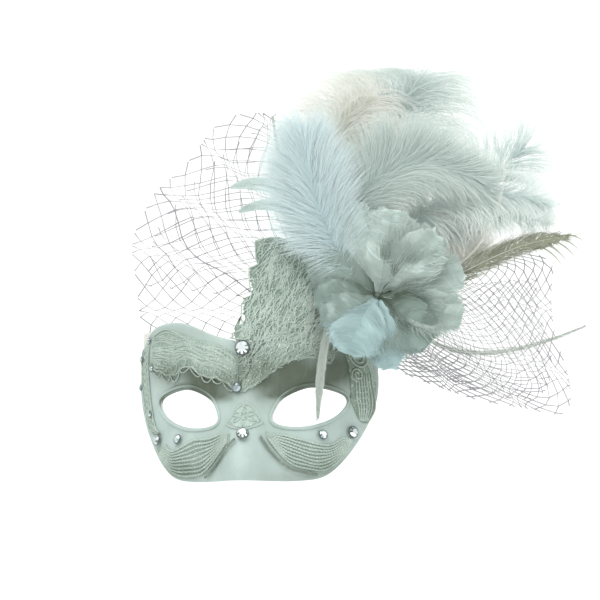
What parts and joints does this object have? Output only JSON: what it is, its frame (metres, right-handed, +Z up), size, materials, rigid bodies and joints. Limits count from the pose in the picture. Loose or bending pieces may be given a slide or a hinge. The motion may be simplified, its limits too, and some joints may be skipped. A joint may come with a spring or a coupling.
{
  "type": "venetian masquerade mask",
  "caption": "White half mask for the eyes with glitter lace, rhinestones, a stand-up lace crest, a feather flower, plumes and a fan of diamond netting to one side.",
  "frame": {"origin": "on the wearer's face between the eyes, at the height of the eye holes, on the mask's middle plane and 32 mm behind the shell's forehead", "axes": "+Z up, the mask faces -Y, +X runs across the face towards the side that carries the flower"},
  "size_m": [0.3276, 0.1032, 0.2866],
  "materials": {
    "painted_shell": "white gesso over moulded papier mache, soft satin",
    "glitter_lace": "stiffened cotton lace with fine glitter",
    "piping": "twisted grey-green cord",
    "rhinestone": "clear cut glass with foiled back",
    "petal_feather": "goose feather, pale ice blue, soft sheen",
    "plume": "ostrich and marabou barbs, pale ice blue",
    "cream_plume": "cream ostrich barbs",
    "olive_hackle": "hackle feather, beige and olive",
    "net": "stiff diamond-mesh veiling",
    "felt": "white wool felt",
    "binding": "wound floral tape",
    "satin": "ivory satin ribbon",
    "thread": "cotton thread band"
  },
  "bodies": {
    "root": {"mask_shell": "painted_shell", "brow_lace_left": "glitter_lace", "brow_lace_right": "glitter_lace", "lace_crest": "glitter_lace", "bridge_lace": "glitter_lace", "temple_lace_left": "glitter_lace", "temple_lace_right": "glitter_lace", "cheek_fan_left": "glitter_lace", "cheek_fan_right": "glitter_lace", "nose_piping_left": "piping", "nose_piping_right": "piping", "brow_stone": "rhinestone", "bridge_stone": "rhinestone", "nose_stone": "rhinestone", "temple_stones": "rhinestone", "cheek_stones_left": "rhinestone", "cheek_stones_right": "rhinestone", "felt_pad": "felt", "stem_binding": "binding", "petal_lower_left": "petal_feather", "petal_bottom": "petal_feather", "petal_lower_right": "petal_feather", "petal_right": "petal_feather", "petal_upper_right": "petal_feather", "petal_top_right": "petal_feather", "petal_top": "petal_feather", "petal_top_left": "petal_feather", "petal_left": "petal_feather", "petal_left_low": "petal_feather", "petal_inner_left": "petal_feather", "eye_biot": "petal_feather", "side_biot_upper": "petal_feather", "side_biot_lower": "petal_feather", "spike_biot": "petal_feather", "plume_top": "plume", "plume_left": "plume", "plume_centre": "plume", "plume_right": "plume", "plume_right_low": "plume", "wisp_feather": "plume", "hackle_low": "plume", "plume_back": "cream_plume", "fluff_tuft": "cream_plume", "bare_quill": "cream_plume", "hackle_olive": "olive_hackle", "veil_left": "net", "veil_left_back": "net", "veil_right": "net", "veil_right_back": "net", "ribbon_left": "satin", "ribbon_right": "satin", "ribbon_tie_left": "thread", "ribbon_tie_right": "thread"}
  },
  "joints": []
}
